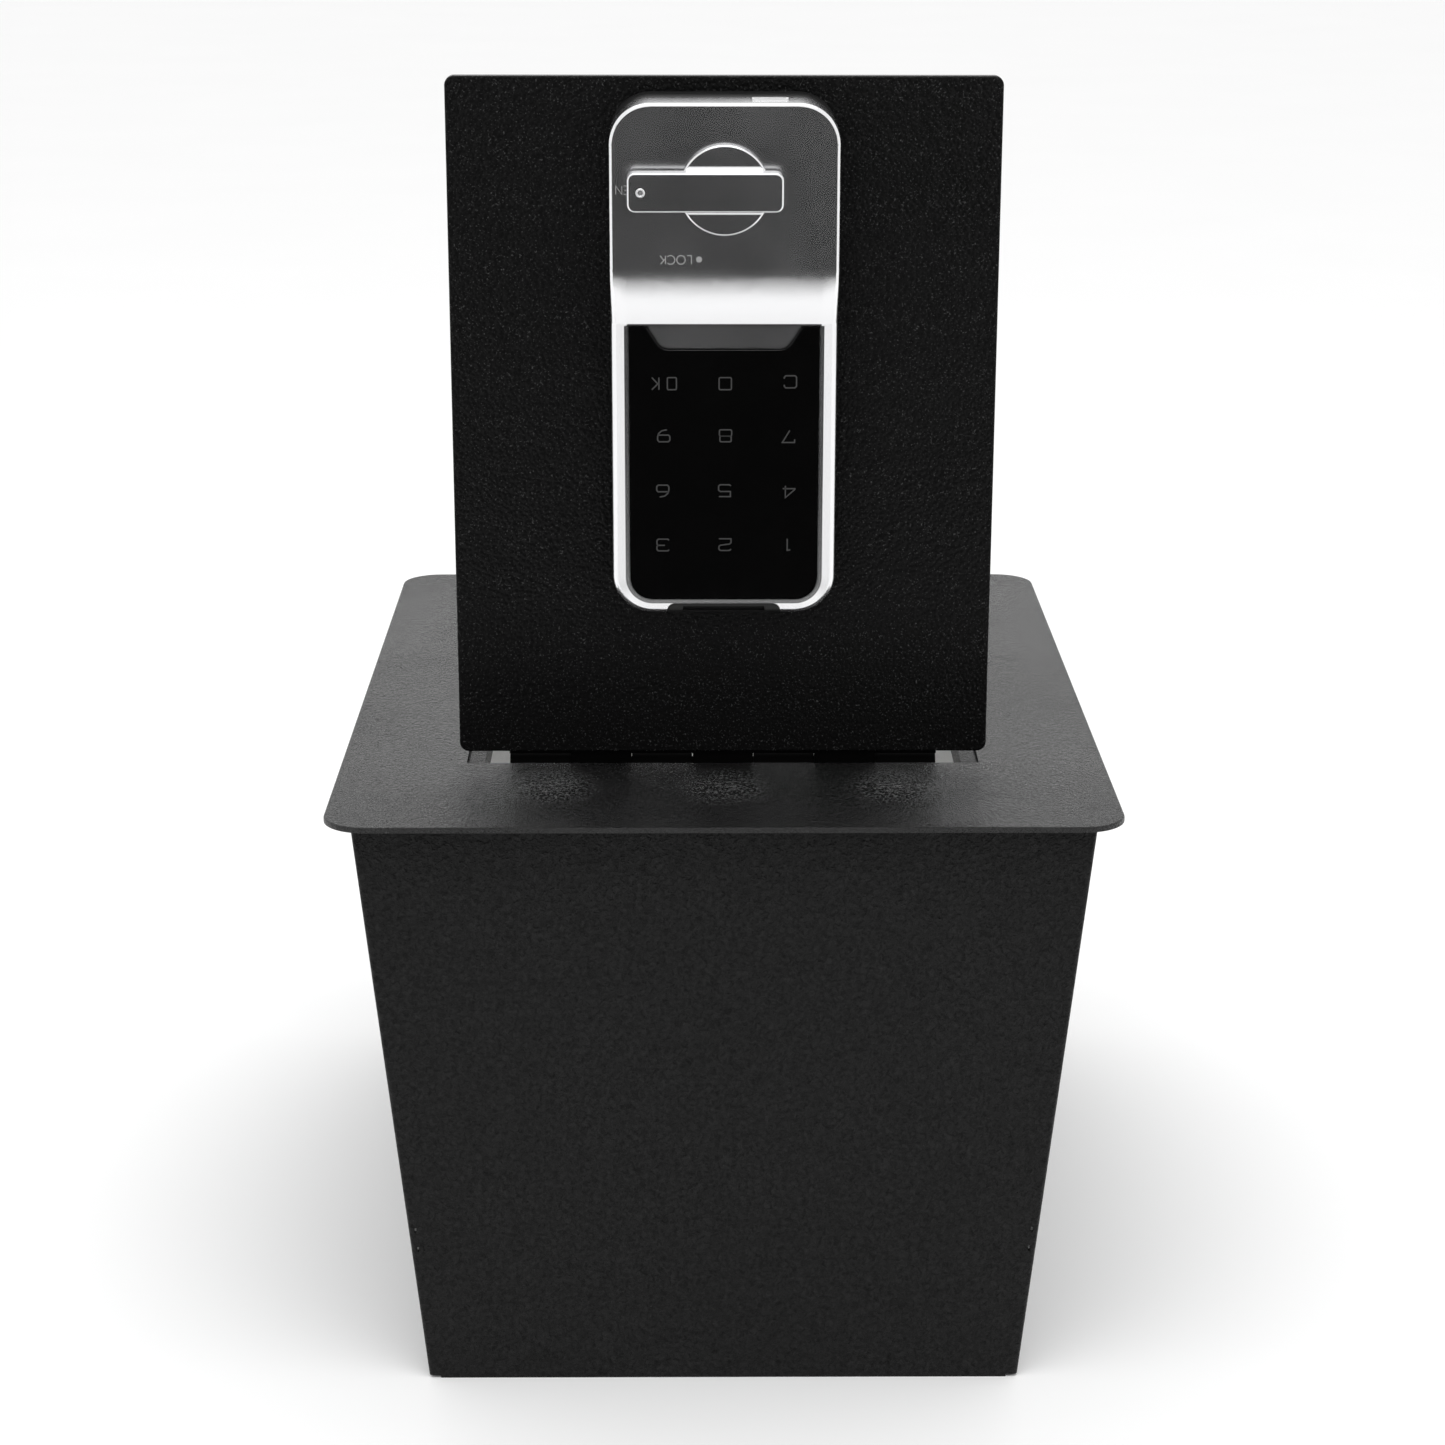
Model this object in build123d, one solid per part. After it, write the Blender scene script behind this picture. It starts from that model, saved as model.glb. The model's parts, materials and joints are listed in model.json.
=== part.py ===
from build123d import *
import math
import os

# Drop-in lid safe: a tapered steel tub hangs from a flanged top plate, and a flat lid with an
# electronic keypad lock is hinged at the rear of the plate's opening. Millimetres, +Z up.
# The origin is the centre of the tub floor's underside, +Y points at the user's side, where the
# lid opens, and the hinge is on the -Y side. The lid is modelled standing open on its stop.
os.makedirs("parts", exist_ok=True)

# Tub and top plate
HEIGHT = 162.5
PLATE_W, PLATE_D, PLATE_T, PLATE_R = 212.0, 278.0, 1.5, 12.0
TUB_TOP_W, TUB_FLOOR_W, TUB_D = 197.7, 162.7, 263.0
SHEET = 1.5
SHEET_ROUND = 0.5
PLATE_BOTTOM = HEIGHT - PLATE_T
WALL_LIFT = 0.7
NOTCH_W = 3.2
SLIT_Z, SLIT_INSET, SLIT_W, SLIT_H = (38.8, 44.4), 1.9, 0.6, 1.5
WELD = 1.3
LINING = 2.0
LINING_TOP = 150.0

# Floor bolt holes
BOLT_X, BOLT_Y, BOLT_R, BOLT_ACCESS_R = 100.0, 180.0, 3.3, 9.0

# Opening in the top plate and the rim that frames it on three sides
OPEN_HALF, OPEN_REAR, OPEN_FRONT, OPEN_CORNER = 66.2, -81.0, 111.0, 1.0
RIM_W, RIM_SLIT, RIM_LEG, RIM_LEDGE = 4.2, 0.8, 1.5, 7.6
RIM_BAR_T = 3.0
RIM_LEG_BOTTOM = 154.7

# Weld dimples that hold the hinge under the plate
DIMPLE_X, DIMPLE_Y, DIMPLE_R, DIMPLE_H = 46.0, -103.0, 10.0, 0.45

# Hinge
HINGE_Y, HINGE_Z = -73.0, 160.5
HINGE_LEN, KNUCKLES, KNUCKLE_GAP = 119.0, 7, 0.2
BARREL_R, PIN_R, PIN_BORE_R = 3.0, 1.5, 1.55
LEAF_T, LEAF_CLEAR = 1.5, 3.4
FIXED_LEAF_REAR = -115.0
MOVING_LEAF_LEN = 26.0

# Lid: s runs along the lid from its rear edge, n stands out from its outer face
OPEN_ANGLE = 92.0
LID_W, LID_L, LID_T, LID_R = 146.2, 186.0, 3.0, 2.5
LID_SETBACK = 5.0
LID_RISE = 3.0
PAN_W, PAN_S0, PAN_S1, PAN_DEPTH, PAN_T = 120.0, 28.0, 170.0, 8.0, 1.2
PAN_R, PAN_BEND = 4.0, 1.0
BUMPER_R, BUMPER_T = 2.4, 0.9
BUMPER_SPOTS = [(-69.4, 30.0), (-69.4, 160.0), (69.4, 30.0), (69.4, 160.0)]

# Lock housing
LOCK_W, LOCK_S0, LOCK_S1, LOCK_R = 59.8, 43.9, 182.2, 10.7
HEAD_N, KEYPAD_N = 18.5, 14.5
END_DRAFT = 0.8
SHOULDER_S0, SHOULDER_S1, SHOULDER_STEPS, SHOULDER_POWER = 123.4, 138.5, 6, 1.7
RIM_ROUND, HEAD_ROUND, RIM_SLOPE_W, RIM_FALL = 1.9, 0.85, 4.3, 0.87
SHELL = 2.4
SKIRT_TOP, SKIRT_INSET, SKIRT_T = 9.8, 0.4, 1.0
GASKET = 0.6
GLASS_HALF, GLASS_S0, GLASS_S1, GLASS_CORNER = 25.25, 48.1, 122.9, 6.2
GLASS_SEAT, GLASS_TOP, GLASS_BEVEL = 12.9, 14.2, 0.4
GLASS_GAP = 0.1
LIP_W, LIP_N = 1.1, 14.25
TONGUE_FOOT_HALF, TONGUE_TOP_HALF, TONGUE_LEN = 16.3, 20.3, 6.1
TONGUE_ROUND, TONGUE_FLARE = 3.4, 1.6
BOARD_HALF, BOARD_S0, BOARD_S1, BOARD_GAP = 23.4, 50.9, 114.5, 0.3
KEYPAD_CAVITY_N, HEAD_CAVITY_N, HEAD_CAVITY_S0 = 11.7, 16.3, 126.5

# Emergency power socket in the lock's upper end
PORT_X0, PORT_X1, PORT_N0, PORT_N1 = 7.0, 16.5, 10.7, 13.7
PORT_DEPTH, PORT_SINK, PORT_R, PORT_WALL = 7.0, 0.2, 1.1, 0.6
PORT_SLOT, PORT_BLADE_T, PORT_BLADE_END, PORT_BLADE_SIDE = 5.0, 0.6, 0.8, 1.2

# Turning knob, spindle and latch cam
KNOB_S = 159.4
DISC_R, DISC_N0, DISC_N1 = 11.7, 18.75, 20.7
BAR_X0, BAR_X1, BAR_W, BAR_N0, BAR_N1 = -25.2, 15.2, 10.3, 20.4, 24.3
BAR_CORNER, BAR_TAPER, EDGE, FAIRING = 2.1, 1.0, 0.5, 1.15
MARKER_X, MARKER_R, MARKER_HOLE_R = -21.7, 1.2, 0.7
MARKER_SINK, MARKER_BASE, MARKER_PROUD, MARKER_ROUND = 0.5, 0.2, 0.25, 0.22
HUB_R, HUB_HOLE_R, HUB_N0 = 6.44, 6.5, 12.0
SPINDLE_R, BUSHING_BORE_R, BUSHING_R = 4.0, 4.06, 7.0
BUSHING_FLANGE_R, BUSHING_FLANGE_T = 9.0, 1.5
CAM_N0, CAM_T, CAM_W, CAM_REACH, CAM_SQUARE = -12.3, 3.0, 14.0, 25.0, 6.0
WASHER_R, WASHER_T, NUT_R, NUT_T = 6.0, 1.0, 4.6, 3.6
THREAD_R, THREAD_END = 2.5, -20.8
LOCK_RING_R, LOCK_RING_N0, LOCK_RING_N1 = 11.0, 6.0, 8.5
NOTCH_ROOT_R, NOTCH_SLOT = 8.2, 3.7

# Blocking pin and its motor
PIN_N = 7.25
BLOCK_R, BLOCK_S0, BLOCK_S1, BLOCK_CHAMFER, BLOCK_BORE = 1.5, 133.0, 147.6, 0.3, 9.0
SCREW_R, SCREW_BORE_R = 0.75, 0.85
MOTOR_S0, MOTOR_S1, MOTOR_W, MOTOR_H, MOTOR_R = 110.0, 128.0, 12.0, 7.0, 3.0
NOSE_R, NOSE_LEN, MOTOR_SCREW_LEN = 2.5, 1.0, 10.0
BRACKET_S0, BRACKET_S1, BRACKET_SIDE, BRACKET_TOP, FOOT_W, FOOT_T = 115.0, 123.0, 1.0, 0.8, 4.0, 1.0

# Batteries and their cover
CELL_R, CELL_S0, CELL_S1, CELL_N, CELL_PITCH = 5.1, 49.0, 92.5, 6.2, 10.6
CELL_CAP_R, CELL_CAP_LEN, CELL_ROUND = 1.9, 0.9, 0.6
HOLDER_HALF, HOLDER_S0, HOLDER_S1 = 22.4, 47.4, 95.6
TROUGH_LOWER, TROUGH_UPPER, FIT = 0.8, 1.6, 0.1
LEAF_HALF, LEAF_THICK, LEAF_N0, LEAF_N1 = 8.5, 0.5, 6.3, 9.4
COVER_HALF, COVER_S1, COVER_ROUND, COVER_GAP = 15.2, 47.0, 1.9, 0.15
GRIP_HALF, GRIP_S0, GRIP_S1, GRIP_DEPTH = 11.0, 44.9, 46.2, 2.6
COVER_ROOM_HALF, COVER_ROOM_S0, COVER_ROOM_N0, COVER_ROOM_N1 = 13.0, 45.4, 2.0, 10.5

# Fastening of the lock
SCREW_SPOTS = [(24.2, 100.0), (-24.2, 100.0), (24.2, 174.2), (-24.2, 174.2)]
SCREW_SHANK_R, SCREW_HEAD_R, SCREW_HEAD_T, SCREW_HEAD_ROUND = 2.0, 3.6, 2.4, 0.8
SCREW_TIP, BOSS_R, BOSS_TOP = 6.5, 4.4, 8.0
CROSS_W, CROSS_LEN, CROSS_DEPTH = 1.0, 4.0, 1.3

lid_place = (
    Pos(0, HINGE_Y, HINGE_Z)
    * Rot(OPEN_ANGLE, 0, 0)
    * Pos(0, LID_SETBACK, LID_RISE + LID_T)
)


def save(node, shape, place=None):
    solids = shape.solids()
    whole = solids[0] if len(solids) == 1 else Compound(solids)
    if place is not None:
        whole = place * whole
    export_step(whole, f"parts/{node}.step")


def block(x0, x1, y0, y1, z0, z1):
    """A box between two corners."""
    centre = Pos((x0 + x1) / 2, (y0 + y1) / 2, (z0 + z1) / 2)
    return centre * Box(x1 - x0, y1 - y0, z1 - z0)


def plate(sketch, z0, z1):
    """A flat sketch made solid between two heights."""
    return extrude(Pos(0, 0, z0) * sketch, z1 - z0)


def rod(radius, x, y, z0, z1):
    """An upright cylinder."""
    return plate(Pos(x, y) * Circle(radius), z0, z1)


def rod_y(radius, x, y0, y1, z):
    """A cylinder along Y."""
    return Pos(x, (y0 + y1) / 2, z) * Rot(90, 0, 0) * Cylinder(radius, y1 - y0)


def rod_x(radius, x0, x1, y, z):
    """A cylinder along X."""
    return Pos((x0 + x1) / 2, y, z) * Rot(0, 90, 0) * Cylinder(radius, x1 - x0)


def along_y(points, y0, y1):
    """A profile of (x, z) points made solid from y0 to y1."""
    return extrude(Plane.XZ.offset(-y0) * Polygon(*points, align=None), y0 - y1)


def along_x(points, x0, x1):
    """A profile of (y, z) points made solid from x0 to x1."""
    return extrude(Plane.YZ.offset(x0) * Polygon(*points, align=None), x1 - x0)


def mirrored(points):
    return [(-a, b) for a, b in reversed(points)]


def half_width(z, inset=0.0):
    """Half the tub's outer width at height z, less an inset measured square to the wall."""
    lean = (TUB_TOP_W - TUB_FLOOR_W) / 2 / PLATE_BOTTOM
    return TUB_FLOOR_W / 2 + lean * z - inset * math.hypot(1, lean)


def side_profile(outer, inner, z0, z1):
    """The leaning section of a side wall or its lining, between two depths into the wall."""
    return [
        (half_width(z0, inner), z0),
        (half_width(z0, outer), z0),
        (half_width(z1, outer), z1),
        (half_width(z1, inner), z1),
    ]


def end_profile(inset, z0, z1):
    """The tapered outline of an end wall or the floor's section."""
    right = [(half_width(z0, inset), z0), (half_width(z1, inset), z1)]
    return right + mirrored(right)


# ---- Tub ----


def top_plate():
    sheet = plate(RectangleRounded(PLATE_W, PLATE_D, PLATE_R), PLATE_BOTTOM, HEIGHT)
    sheet = fillet(sheet.edges().group_by(Axis.Z)[-1], SHEET_ROUND)
    half = OPEN_HALF + RIM_W + RIM_SLIT
    front = OPEN_FRONT + RIM_W + RIM_SLIT
    hole = RectangleRounded(2 * half, front - OPEN_REAR, OPEN_CORNER)
    sheet -= plate(Pos(0, (front + OPEN_REAR) / 2) * hole, PLATE_BOTTOM - 1, HEIGHT + 1)
    ball_r = (DIMPLE_R**2 + DIMPLE_H**2) / (2 * DIMPLE_H)
    for x in (-DIMPLE_X, 0, DIMPLE_X):
        ball = Pos(x, DIMPLE_Y, HEIGHT + DIMPLE_H - ball_r) * Sphere(ball_r)
        sheet += ball & rod(DIMPLE_R + 1, x, DIMPLE_Y, HEIGHT - PLATE_T / 2, HEIGHT + 1)
    return sheet


def end_wall(y0, y1):
    """A trapezium with rounded upright edges, relief slits and notched bottom corners."""
    wall = along_y(end_profile(0, 0, PLATE_BOTTOM), y0, y1)
    edges = [e for e in wall.edges() if abs(e.center().X) > TUB_FLOOR_W / 2]
    outer = [e for e in edges if abs(e.center().Y) > TUB_D / 2 - 0.1]
    wall = fillet(outer, SHEET * 0.8)
    for side in (-1, 1):
        corner = side * half_width(0)
        notch = Pos(corner, (y0 + y1) / 2, 0)
        wall -= notch * Box(2 * NOTCH_W, 2 * SHEET, 2 * WALL_LIFT)
        for slit_z in SLIT_Z:
            x = side * (half_width(slit_z) - SLIT_INSET)
            wall -= Pos(x, (y0 + y1) / 2, slit_z) * Box(SLIT_W, 2 * SHEET, SLIT_H)
    return wall


def side_wall(sign):
    points = side_profile(0, SHEET, WALL_LIFT, PLATE_BOTTOM)
    if sign < 0:
        points = mirrored(points)
    inner = TUB_D / 2 - SHEET
    return along_y(points, -inner, inner)


def floor_plate():
    inner = TUB_D / 2 - SHEET
    floor = along_y(end_profile(SHEET, 0, SHEET), -inner, inner)
    for x in (-BOLT_X / 2, BOLT_X / 2):
        for y in (-BOLT_Y / 2, BOLT_Y / 2):
            floor -= rod(BOLT_R, x, y, -1, SHEET + 1)
    return floor


def flange_weld():
    """The fillet weld that joins the tub to the top plate all round."""
    end = TUB_D / 2
    foot = PLATE_BOTTOM - WELD
    rear = [(-end, PLATE_BOTTOM), (-end - WELD, PLATE_BOTTOM), (-end, foot)]
    front = [(end, PLATE_BOTTOM), (end, foot), (end + WELD, PLATE_BOTTOM)]
    top = half_width(PLATE_BOTTOM)
    side = [(top, PLATE_BOTTOM), (half_width(foot), foot), (top + WELD, PLATE_BOTTOM)]
    long_half = half_width(foot)
    straight = end - SHEET
    pieces = [
        along_x(rear, -long_half, long_half),
        along_x(front, -long_half, long_half),
        along_y(side, -straight, straight),
        along_y(mirrored(side), -straight, straight),
    ]
    return Compound([s for piece in pieces for s in piece.solids()])


def rim_section(near):
    """The rim bar's section: a bar level with the plate, a ledge under it and a leg below."""
    far = near + RIM_W
    under = HEIGHT - RIM_BAR_T
    return [
        (near, RIM_LEG_BOTTOM),
        (near + RIM_LEG, RIM_LEG_BOTTOM),
        (near + RIM_LEG, under),
        (far + RIM_LEDGE, under),
        (far + RIM_LEDGE, PLATE_BOTTOM),
        (far, PLATE_BOTTOM),
        (far, HEIGHT),
        (near, HEIGHT),
    ]


def rim_side(sign):
    points = rim_section(OPEN_HALF)
    if sign < 0:
        points = mirrored(points)
    return along_y(points, OPEN_REAR + 0.1, OPEN_FRONT)


def rim_front():
    half = OPEN_HALF + RIM_W
    return along_x(rim_section(OPEN_FRONT), -half, half)


def lining_floor():
    inner = TUB_D / 2 - SHEET
    mat = along_y(end_profile(SHEET, SHEET, SHEET + LINING), -inner, inner)
    for x in (-BOLT_X / 2, BOLT_X / 2):
        for y in (-BOLT_Y / 2, BOLT_Y / 2):
            mat -= rod(BOLT_ACCESS_R, x, y, 0, SHEET + LINING + 1)
    return mat


def lining_side(sign):
    points = side_profile(SHEET, SHEET + LINING, SHEET + LINING, LINING_TOP)
    if sign < 0:
        points = mirrored(points)
    inner = TUB_D / 2 - SHEET
    return along_y(points, -inner, inner)


def lining_end(sign):
    outline = end_profile(SHEET + LINING, SHEET + LINING, LINING_TOP)
    outer = sign * (TUB_D / 2 - SHEET)
    inner = outer - sign * LINING
    return along_y(outline, min(outer, inner), max(outer, inner))


# ---- Hinge ----


def knuckle_spans(first):
    """The x spans of every second knuckle."""
    pitch = HINGE_LEN / KNUCKLES
    starts = [-HINGE_LEN / 2 + i * pitch for i in range(first, KNUCKLES, 2)]
    gap = KNUCKLE_GAP / 2
    return [(x + gap, x + pitch - gap) for x in starts]


def hinge_leaf_fixed():
    half = HINGE_LEN / 2
    z0, z1 = PLATE_BOTTOM - LEAF_T, PLATE_BOTTOM
    leaf = block(-half, half, FIXED_LEAF_REAR, HINGE_Y - LEAF_CLEAR, z0, z1)
    for x0, x1 in knuckle_spans(0):
        leaf += block(x0, x1, HINGE_Y - LEAF_CLEAR - 1, HINGE_Y, z0, z1)
        leaf += rod_x(BARREL_R, x0, x1, HINGE_Y, HINGE_Z)
    return leaf - rod_x(PIN_BORE_R, -half - 1, half + 1, HINGE_Y, HINGE_Z)


def hinge_leaf_moving():
    """In lid coordinates: the leaf lies on the lid's inner face, its barrel on the hinge axis."""
    half = HINGE_LEN / 2
    axis_s, axis_n = -LID_SETBACK, -LID_T - LID_RISE
    n0, n1 = -LID_T - LEAF_T, -LID_T
    leaf = block(-half, half, axis_s + LEAF_CLEAR, axis_s + MOVING_LEAF_LEN, n0, n1)
    for x0, x1 in knuckle_spans(1):
        leaf += block(x0, x1, axis_s, axis_s + LEAF_CLEAR + 1, n0, n1)
        leaf += rod_x(BARREL_R, x0, x1, axis_s, axis_n)
    return leaf - rod_x(PIN_BORE_R, -half - 1, half + 1, axis_s, axis_n)


def hinge_pin():
    half = HINGE_LEN / 2 - KNUCKLE_GAP / 2
    return rod_x(PIN_R, -half, half, HINGE_Y, HINGE_Z)


# ---- Lid ----


def lid_plate():
    sheet = plate(Pos(0, LID_L / 2) * RectangleRounded(LID_W, LID_L, LID_R), -LID_T, 0)
    rims = sheet.edges().group_by(Axis.Z)
    sheet = fillet(rims[-1] + rims[0], SHEET_ROUND)
    sheet -= rod(BUSHING_R, 0, KNOB_S, -LID_T - 1, 1)
    for x, s in SCREW_SPOTS:
        sheet -= rod(SCREW_SHANK_R, x, s, -LID_T - 1, 1)
    return sheet


def lid_pan():
    """The folded stiffener inside the lid, open on the side that lies on the lid."""
    middle = Pos(0, (PAN_S0 + PAN_S1) / 2)
    length = PAN_S1 - PAN_S0
    outline = middle * RectangleRounded(PAN_W, length, PAN_R)
    hollow = middle * RectangleRounded(
        PAN_W - 2 * PAN_T, length - 2 * PAN_T, PAN_R - PAN_T
    )
    floor_n = -LID_T - PAN_DEPTH
    pan = plate(outline, floor_n, -LID_T)
    pan = fillet(pan.edges().group_by(Axis.Z)[0], PAN_BEND)
    pan -= plate(hollow, floor_n + PAN_T, -LID_T + 1)
    pan -= rod(BUSHING_FLANGE_R, 0, KNOB_S, floor_n - 1, floor_n + PAN_T + 1)
    for x, s in SCREW_SPOTS[:2]:
        pan -= rod(SCREW_HEAD_R + 1, x, s, floor_n - 1, floor_n + PAN_T + 1)
    return pan


def lid_bumpers():
    discs = [rod(BUMPER_R, x, s, -LID_T - BUMPER_T, -LID_T) for x, s in BUMPER_SPOTS]
    return Compound([d.solids()[0] for d in discs])


# ---- Lock, in lid coordinates ----


def lock_outline(inset=0.0, draft=0.0):
    width = LOCK_W - 2 * inset
    length = LOCK_S1 - draft - LOCK_S0 - 2 * inset
    centre = Pos(0, (LOCK_S0 + LOCK_S1 - draft) / 2)
    return centre * RectangleRounded(width, length, LOCK_R - inset)


def shoulder_section(s, top, corner, drop):
    """The housing's cross-section at s. Each side slopes down by drop to a rounded edge."""
    half = LOCK_W / 2
    slope = math.atan(drop / RIM_SLOPE_W)
    turn = (math.pi / 2 - slope) / 2
    trim = corner * math.tan(turn)
    low = top - drop - trim
    wall = (half, low)
    middle = (half - corner + corner * math.cos(turn), low + corner * math.sin(turn))
    crest = (half - trim * math.cos(slope), top - drop + trim * math.sin(slope))
    brow = (half - RIM_SLOPE_W, top)
    (wall_l, middle_l, crest_l, brow_l) = [(-x, n) for x, n in (wall, middle, crest, brow)]
    outline = make_face(
        [
            Line((half, GASKET), wall),
            ThreePointArc(wall, middle, crest),
            Line(crest, brow),
            Line(brow, brow_l),
            Line(brow_l, crest_l),
            ThreePointArc(crest_l, middle_l, wall_l),
            Line(wall_l, (-half, GASKET)),
            Line((-half, GASKET), (half, GASKET)),
        ]
    )
    return Plane((0, s, 0), x_dir=(-1, 0, 0), z_dir=(0, 1, 0)) * outline


def shoulder():
    """The curved fall from the head to the keypad, where the edge rounding opens out."""
    sections = []
    for i in range(SHOULDER_STEPS + 1):
        share = i / SHOULDER_STEPS
        ease = (1 - math.cos(math.pi * share)) / 2
        fall = share**SHOULDER_POWER
        sections.append(
            shoulder_section(
                SHOULDER_S1 - share * (SHOULDER_S1 - SHOULDER_S0),
                HEAD_N - fall * (HEAD_N - KEYPAD_N),
                HEAD_ROUND + ease * (RIM_ROUND - HEAD_ROUND),
                ease * RIM_FALL,
            )
        )
    return loft(sections)


def lock_body():
    """The housing's outer form, solid."""
    brim = Pos(0, 0, KEYPAD_N - RIM_FALL) * lock_outline()
    brow = Pos(0, 0, KEYPAD_N) * lock_outline(RIM_SLOPE_W)
    keypad = plate(lock_outline(), GASKET, KEYPAD_N - RIM_FALL) + loft([brim, brow])
    keypad = fillet(keypad.edges().group_by(Axis.Z)[-3], RIM_ROUND)
    keypad &= block(-50, 50, 0, SHOULDER_S0, 0, 30)
    foot = Pos(0, 0, GASKET) * lock_outline()
    head = loft([foot, Pos(0, 0, HEAD_N) * lock_outline(draft=END_DRAFT)])
    head = fillet(head.edges().group_by(Axis.Z)[-1], HEAD_ROUND)
    head &= block(-50, 50, SHOULDER_S1, 200, 0, 30)
    return keypad + head + shoulder()


def tongue(gap=0.0):
    """The metal tongue that reaches down from the shoulder into the top of the glass."""
    foot, top = GLASS_S1 - TONGUE_LEN - gap, GLASS_S1 - gap
    beyond = TONGUE_TOP_HALF + 2 * TONGUE_FLARE
    right = [
        (TONGUE_FOOT_HALF + gap, foot),
        (TONGUE_TOP_HALF + gap, top),
        (beyond, top),
        (beyond, GLASS_S1 + 1),
    ]
    shape = make_face(Polyline(*(right + mirrored(right)), close=True))
    flares = sorted(shape.vertices().sort_by(Axis.Y)[2:6], key=lambda v: abs(v.X))[:2]
    shape = fillet(flares, TONGUE_FLARE)
    return fillet(shape.vertices().sort_by(Axis.Y)[:2], TONGUE_ROUND)


def glass_outline(gap=0.0):
    width = 2 * (GLASS_HALF - gap)
    length = GLASS_S1 - GLASS_S0 - 2 * gap
    shape = Pos(0, (GLASS_S0 + GLASS_S1) / 2) * Rectangle(width, length)
    return fillet(shape.vertices().sort_by(Axis.Y)[:2], GLASS_CORNER - gap)


def cover_outline(gap=0.0):
    foot, end = LOCK_S0 - 1, COVER_S1 - gap
    shape = Pos(0, (foot + end) / 2) * Rectangle(2 * (COVER_HALF - gap), end - foot)
    return fillet(shape.vertices().sort_by(Axis.Y)[2:], COVER_ROUND)


def lock_housing():
    body = lock_body()
    keypad_room = Pos(0, (LOCK_S0 + SHOULDER_S1) / 2 + SHELL / 2) * RectangleRounded(
        LOCK_W - 2 * SHELL, SHOULDER_S1 - LOCK_S0 - SHELL, LOCK_R - SHELL
    )
    head_end = LOCK_S1 - END_DRAFT - SHELL
    head_room = Pos(0, (HEAD_CAVITY_S0 + head_end) / 2) * RectangleRounded(
        LOCK_W - 2 * SHELL, head_end - HEAD_CAVITY_S0, LOCK_R - SHELL
    )
    body -= plate(keypad_room, 0, KEYPAD_CAVITY_N)
    body -= plate(head_room, 0, KEYPAD_CAVITY_N)
    upper = plate(head_room, KEYPAD_CAVITY_N - 1, HEAD_CAVITY_N)
    body -= upper & block(-50, 50, SHOULDER_S1 + 1, 200, 0, 30)
    recess = plate(glass_outline(-LIP_W), LIP_N, KEYPAD_N + 1)
    body -= recess & block(-50, 50, 0, GLASS_S1, 0, 30)
    pocket = plate(glass_outline(), GLASS_SEAT, KEYPAD_N + 1)
    body -= pocket - plate(tongue(), 0, GLASS_TOP)
    body -= block(
        -BOARD_HALF - BOARD_GAP,
        BOARD_HALF + BOARD_GAP,
        BOARD_S0 - BOARD_GAP,
        BOARD_S1 + BOARD_GAP,
        KEYPAD_CAVITY_N - 1,
        GLASS_SEAT + FIT,
    )
    body -= plate(cover_outline(), 0, KEYPAD_N + 1)
    for x, s in SCREW_SPOTS:
        body += rod(BOSS_R, x, s, GASKET, BOSS_TOP) & lock_body()
        body -= rod(SCREW_SHANK_R, x, s, 0, SCREW_TIP)
    body -= rod(HUB_HOLE_R, 0, KNOB_S, HEAD_CAVITY_N - 1, HEAD_N + 1)
    around = plate(lock_outline(-1), 0, SKIRT_TOP)
    body -= around - plate(lock_outline(SKIRT_INSET + SKIRT_T), -1, SKIRT_TOP + 1)
    return body - power_port_block()


def lock_skirt():
    """The black band round the foot of the metal housing, open at the battery cover."""
    band = plate(lock_outline(SKIRT_INSET), GASKET, SKIRT_TOP)
    band -= plate(lock_outline(SKIRT_INSET + SKIRT_T), 0, SKIRT_TOP + 1)
    return band - plate(cover_outline(), 0, SKIRT_TOP + 1)


def power_port_block():
    inner, outer = LOCK_S1 - PORT_DEPTH, LOCK_S1 - PORT_SINK
    return block(PORT_X0, PORT_X1, inner, outer, PORT_N0, PORT_N1)


def power_port():
    """The emergency power socket in the lock's upper end."""
    port = power_port_block()
    port = fillet(port.edges().filter_by(Axis.Y), PORT_R)
    x0, x1 = PORT_X0 + PORT_WALL, PORT_X1 - PORT_WALL
    n0, n1 = PORT_N0 + PORT_WALL, PORT_N1 - PORT_WALL
    slot_root = LOCK_S1 - PORT_SLOT
    slot = block(x0, x1, slot_root, LOCK_S1 + 1, n0, n1)
    middle = (n0 + n1) / 2
    blade = block(
        x0 + PORT_BLADE_SIDE,
        x1 - PORT_BLADE_SIDE,
        slot_root,
        LOCK_S1 - PORT_BLADE_END,
        middle - PORT_BLADE_T / 2,
        middle + PORT_BLADE_T / 2,
    )
    return port - slot + blade


def keypad_glass():
    shape = glass_outline(GLASS_GAP) - tongue(GLASS_GAP)
    glass = plate(shape, GLASS_SEAT, GLASS_TOP)
    return chamfer(glass.edges().group_by(Axis.Z)[-1], GLASS_BEVEL)


def keypad_board():
    return block(
        -BOARD_HALF, BOARD_HALF, BOARD_S0, BOARD_S1, KEYPAD_CAVITY_N, GLASS_SEAT - FIT
    )


def lock_gasket():
    ring = plate(lock_outline(0.2), 0, GASKET)
    return ring - plate(lock_outline(SHELL), -1, GASKET + 1)


def lock_screws():
    screws = []
    head_n = -LID_T - SCREW_HEAD_T
    for x, s in SCREW_SPOTS:
        screw = rod(SCREW_SHANK_R, x, s, -LID_T, SCREW_TIP)
        head = rod(SCREW_HEAD_R, x, s, head_n, -LID_T)
        head = fillet(head.edges().group_by(Axis.Z)[0], SCREW_HEAD_ROUND)
        middle = Pos(x, s, head_n)
        cross = middle * Box(CROSS_W, CROSS_LEN, 2 * CROSS_DEPTH)
        cross += middle * Box(CROSS_LEN, CROSS_W, 2 * CROSS_DEPTH)
        screws.append((screw + head - cross).solids()[0])
    return Compound(screws)


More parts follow.
